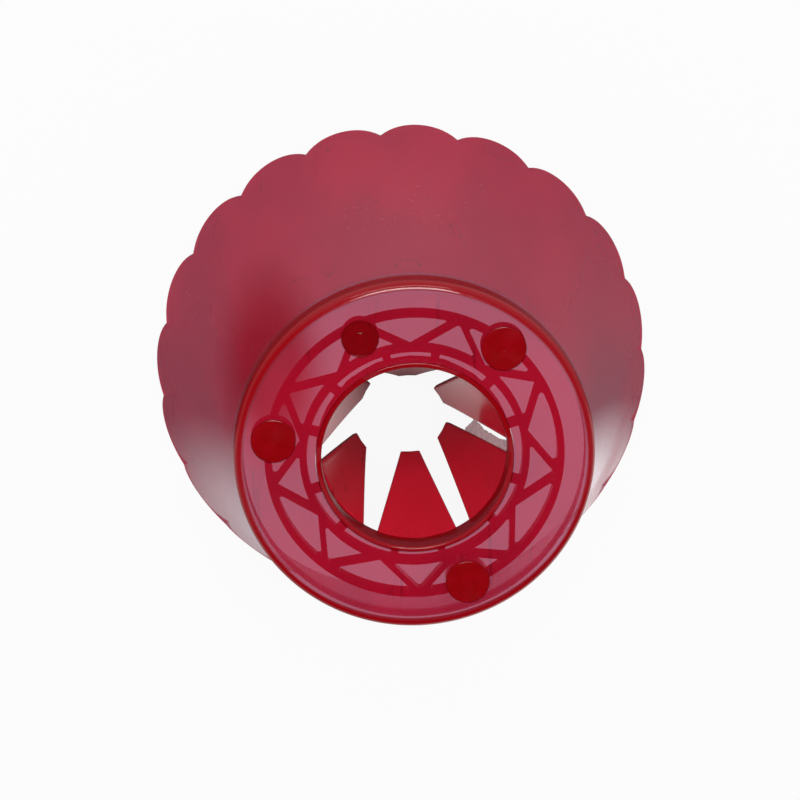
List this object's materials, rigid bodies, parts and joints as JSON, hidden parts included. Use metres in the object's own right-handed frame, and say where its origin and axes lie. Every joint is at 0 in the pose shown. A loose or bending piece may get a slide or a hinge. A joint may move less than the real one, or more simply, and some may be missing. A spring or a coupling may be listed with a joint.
{
  "type": "candle wind guard",
  "caption": "Translucent red scalloped cup that slides onto a hand-held candle; springy fingers round the hole in its foot grip the candle.",
  "frame": {"origin": "on the cup's axis, at the level of the scallops' tips, on which the cup stands", "axes": "+Z along the cup's axis, from the scalloped mouth to the foot; +X towards azimuth zero, with the first finger 30 degrees from it"},
  "size_m": [0.092, 0.092, 0.057],
  "materials": {
    "red_clear_plastic": "glossy translucent red polystyrene, pinker where it is thin",
    "red_plastic": "the same plastic in solid studs, deep red"
  },
  "bodies": {
    "cup": {"cup_shell": "red_clear_plastic", "grip_collar": "red_clear_plastic", "rivet_1": "red_plastic", "rivet_2": "red_plastic", "rivet_3": "red_plastic"},
    "finger_1": {"finger_1": "red_clear_plastic"},
    "finger_2": {"finger_2": "red_clear_plastic"},
    "finger_3": {"finger_3": "red_clear_plastic"},
    "finger_4": {"finger_4": "red_clear_plastic"},
    "finger_5": {"finger_5": "red_clear_plastic"},
    "finger_6": {"finger_6": "red_clear_plastic"}
  },
  "joints": [
    {"name": "finger_1_flex", "type": "hinge", "parent": "cup", "child": "finger_1", "pos_m": [0.0142, 0.0082, 0.0521], "axis": [0.5, -0.866, 0], "range_deg": [0, 23], "stiffness_Nm_per_rad": 0.05},
    {"name": "finger_2_flex", "type": "hinge", "parent": "cup", "child": "finger_2", "pos_m": [0, 0.0164, 0.0521], "axis": [1, 0, 0], "range_deg": [0, 21], "stiffness_Nm_per_rad": 0.05},
    {"name": "finger_3_flex", "type": "hinge", "parent": "cup", "child": "finger_3", "pos_m": [-0.0142, 0.0082, 0.0521], "axis": [0.5, 0.866, 0], "range_deg": [0, 17], "stiffness_Nm_per_rad": 0.05},
    {"name": "finger_4_flex", "type": "hinge", "parent": "cup", "child": "finger_4", "pos_m": [-0.0142, -0.0082, 0.0521], "axis": [-0.5, 0.866, 0], "range_deg": [0, 13.5], "stiffness_Nm_per_rad": 0.05},
    {"name": "finger_5_flex", "type": "hinge", "parent": "cup", "child": "finger_5", "pos_m": [0, -0.0164, 0.0521], "axis": [-1, 0, 0], "range_deg": [0, 21], "stiffness_Nm_per_rad": 0.05},
    {"name": "finger_6_flex", "type": "hinge", "parent": "cup", "child": "finger_6", "pos_m": [0.0142, -0.0082, 0.0521], "axis": [-0.5, -0.866, 0], "range_deg": [0, 22], "stiffness_Nm_per_rad": 0.05}
  ]
}
